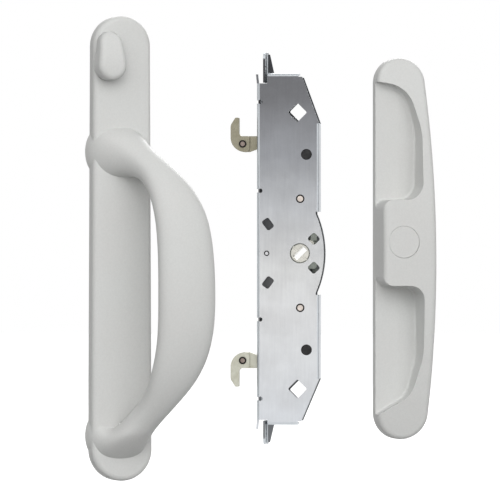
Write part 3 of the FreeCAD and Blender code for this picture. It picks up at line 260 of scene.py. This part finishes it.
def painted_casting():
    """Pale grey baked paint with a satin sheen: faint mottling and orange peel."""
    paint = Material("painted_casting", 0.5)
    tone = paint.between(paint.noise(30, 4), (208, 208, 206), (209, 210, 208))
    grain = paint.between(paint.noise(900, 2), (250, 250, 250), (255, 255, 255))
    paint.colour(paint.mix(1.0, tone, grain, "MULTIPLY"))
    paint.gloss(paint.spread(paint.noise(60, 3), 0.5, 0.56))
    paint.bump(paint.noise(420, 1), 0.00002, 0.3)
    paint.put(paint.inputs["Specular IOR Level"], 0.25)
    return paint.material


def zinc_sheet(name, seen_inside=1.0):
    """Bright zinc on rolled sheet: cloudy tone, faint rolling lines, small pits, a painted
    reflection that darkens the front towards the top, and painted shade by 1 - seen_inside.
    """
    zinc = Material(name, 0.34, 1.0)
    # Painted reflection: the front's tone darkens towards the top
    front = zinc.ramp(zinc.height(ZINC_REFLECTION_HEIGHTS), ZINC_FRONT_PAINTED_REFLECTION)
    # Painted shade: the tone goes dark by 1 - seen_inside, for the far plate's inside
    front = zinc.mix(1.0 - seen_inside, front, linear(ZINC_PAINTED_SHADE))
    # Side faces keep one tone, without the painted reflection
    tone = zinc.mix(zinc.facing_front(ZINC_FRONT_NORMALS), linear(ZINC_SIDES), front)
    cloud = zinc.between(zinc.noise(38, 5, 0.6), (232, 231, 230), (255, 255, 255))
    rolled = zinc.noise(14, 4, 0.6, ZINC_LINES_STRETCH)
    lines = zinc.between(rolled, (246, 246, 247), (255, 255, 255))
    clouded = zinc.mix(0.8, tone, cloud, "MULTIPLY")
    zinc.colour(zinc.mix(0.9, clouded, lines, "MULTIPLY"))
    zinc.gloss(zinc.spread(zinc.noise(160, 4), 0.28, 0.42))
    zinc.bump(zinc.noise(1400, 3), 0.00006, 0.1, 0.00025)
    return zinc.material


def bare_steel(name, dark, light):
    """Small turned and stamped parts between two tones."""
    steel = Material(name, 0.34, 1.0)
    steel.colour(steel.between(steel.noise(120, 4), dark, light))
    steel.gloss(steel.spread(steel.noise(300, 3), 0.26, 0.42))
    steel.bump(steel.noise(2500, 2), 0.00005, 0.1, 0.0002)
    return steel.material


def riveted_ends(node, places, face_radius, dark, light):
    """Upset ends of posts or rivets inside dark rings of painted shade, drawn about their
    own axes.
    """
    steel = Material(node, 0.38, 0.85)
    across = steel.distance_from_axis(places[0], LOCK_AXIS)
    for place in places[1:]:
        across = steel.maths("MINIMUM", across, steel.distance_from_axis(place, LOCK_AXIS))
    # Painted shade: dark beyond each upset face's radius
    ring = steel.spread(across, 0, 1, PAINTED_SHADE_RING_START * face_radius, face_radius)
    face = steel.between(steel.noise(500, 4), dark, light)
    steel.colour(steel.mix(ring, face, linear(PAINTED_SHADE_RING_TONE)))
    steel.gloss(steel.spread(steel.noise(900, 3), 0.32, 0.48))
    return steel.material


def hook_steel():
    """Hardened hook plates with a dull khaki passivation, darker towards the top."""
    hook = Material("hook_steel", 0.4, 0.85)
    tone = hook.ramp(hook.height(HOOK_HEIGHTS), HOOK_TONES)
    stain = hook.between(hook.noise(160, 5, 0.6), (226, 224, 216), (255, 255, 255))
    hook.colour(hook.mix(0.9, tone, stain, "MULTIPLY"))
    hook.gloss(hook.spread(hook.noise(400, 3), 0.34, 0.5))
    hook.bump(hook.noise(1800, 3), 0.00008, 0.15, 0.0003)
    return hook.material


def black_oxide():
    """Pins blackened against rust."""
    black = Material("black_oxide", 0.45, 0.6)
    black.colour(black.between(black.noise(400, 4), (26, 26, 27), (48, 48, 48)))
    black.gloss(black.spread(black.noise(900, 3), 0.36, 0.55))
    black.bump(black.noise(3000, 2), 0.00005, 0.15, 0.0003)
    return black.material


def corners_and_middle(box):
    """Low corner, high corner and middle of a box."""
    low, high = (Vector(corner) for corner in box)
    return low, high, (low + high) / 2


def end_finishes(names):
    """Finishes of the pieces whose riveted ends show, by node."""
    found = {}
    for name in names:
        low, high, centre = corners_and_middle(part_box(name))
        if name.endswith("hook_rivet"):
            found[name] = riveted_ends(name, [centre], *HOOK_RIVET_END)
        elif name == "front_spacer":
            found[name] = riveted_ends(name, [centre], *FRONT_SPACER_END)
        elif name == "guide_spacers":
            rise = Vector((0, 0, (high.z - low.z) / 2 - SPACER_RADIUS))
            places = [centre + rise, centre - rise]
            found[name] = riveted_ends(name, places, *GUIDE_SPACER_END)
    return found


# Finishes by the record's slot, then those of single nodes
by_slot = {
    "painted_casting": painted_casting(),
    "zinc_plated_sheet": zinc_sheet("zinc_sheet"),
    "plated_steel": bare_steel("plated_steel", (188, 188, 186), (212, 212, 210)),
    "hook_steel": hook_steel(),
    "dark_steel": black_oxide(),
}
slide_steel = bare_steel("slide_steel", (112, 116, 110), (138, 142, 136))
by_node = {
    # The far plate's zinc carries painted shade for its inside
    "far_case_plate": zinc_sheet("zinc_sheet_far_painted_shade", 0.3),
    "lock_hub": bare_steel("hub_steel", (184, 183, 174), (208, 206, 199)),
    "upper_slide": slide_steel,
    "lower_slide": slide_steel,
    **end_finishes(frame["nodes"]),
}
slot_of = {part["node"]: part["material_slot"] for part in frame["record"]["subparts"]}
for node, piece in frame["nodes"].items():
    finish = by_node.get(node, by_slot[slot_of[node]])
    if not piece.material_slots:
        piece.data.materials.append(finish)
    for slot in piece.material_slots:
        slot.material = finish

# Floor: pale, keeps its shadow and glows white to the camera and in reflections
low, high, middle = corners_and_middle(cad_box)
floor_place = (middle.x, middle.y, low.z - FLOOR_GAP)
bpy.ops.mesh.primitive_plane_add(size=FLOOR_SIZE, location=floor_place)
floor = bpy.context.object
floor.name = "floor"
matt = Material("floor", FLOOR_ROUGHNESS)
matt.colour((FLOOR_TONE, FLOOR_TONE, FLOOR_TONE, 1))
glow = matt.nodes.new("ShaderNodeEmission")
matt.put(glow.inputs["Color"], WHITE)
matt.put(glow.inputs["Strength"], matt.maths("MULTIPLY", matt.seen_directly(), FLOOR_GLOW))
both = matt.nodes.new("ShaderNodeAddShader")
matt.put(both.inputs[0], matt.nodes["Principled BSDF"].outputs[0])
matt.put(both.inputs[1], glow.outputs[0])
matt.put(matt.nodes["Material Output"].inputs["Surface"], both.outputs[0])
floor.data.materials.append(matt.material)

# World: white to the camera and in reflections, with soft light from the front for the rest
world = bpy.data.worlds.new("studio")
bpy.context.scene.world = world
world.use_nodes = True
sky = Graph(world.node_tree)
background = sky.nodes["Background"].inputs
light_from = Vector(SOFT_LIGHT_FROM).normalized()
toward = sky.measure("DOT_PRODUCT", sky.coordinates("Generated"), light_from)
spot = sky.maths("POWER", sky.maths("MAXIMUM", toward, 0.0), SOFT_LIGHT_FOCUS)
soft = sky.maths("MULTIPLY_ADD", spot, SOFT_LIGHT_STRENGTH, WORLD_STRENGTH)
sky.put(background["Color"], WHITE)
sky.put(background["Strength"], sky.spread(sky.seen_directly(), soft, 1.0, 0.0, 1.0))

# Lamps
for name, (place, aim, size, power) in LAMPS.items():
    lamp = bpy.data.lights.new(name, "AREA")
    lamp.shape = "RECTANGLE"
    lamp.size, lamp.size_y = size
    lamp.energy = power
    holder = bpy.data.objects.new(name, lamp)
    bpy.context.collection.objects.link(holder)
    holder.location = middle + Vector(place)
    ahead = Vector(aim) - Vector(place)
    holder.rotation_euler = ahead.to_track_quat("-Z", "Y").to_euler()

# Camera, level and square to the fronts
camera = bpy.data.cameras.new("camera")
camera.sensor_width = SENSOR
camera.lens = SENSOR * CAMERA_DISTANCE / (PHOTO_SIZE * METRES_PER_PIXEL)
camera.clip_end = CAMERA_CLIP
eye = bpy.data.objects.new("camera", camera)
bpy.context.collection.objects.link(eye)
centre_x = (PHOTO_SIZE / 2 - ORIGIN_PIXEL[0]) * METRES_PER_PIXEL
centre_z = (ORIGIN_PIXEL[1] - PHOTO_SIZE / 2) * METRES_PER_PIXEL
eye.location = (centre_x, -CAMERA_DISTANCE, centre_z)
eye.rotation_euler = (math.radians(90), 0, 0)
bpy.context.scene.camera = eye
bpy.context.scene.view_settings.view_transform = "Standard"
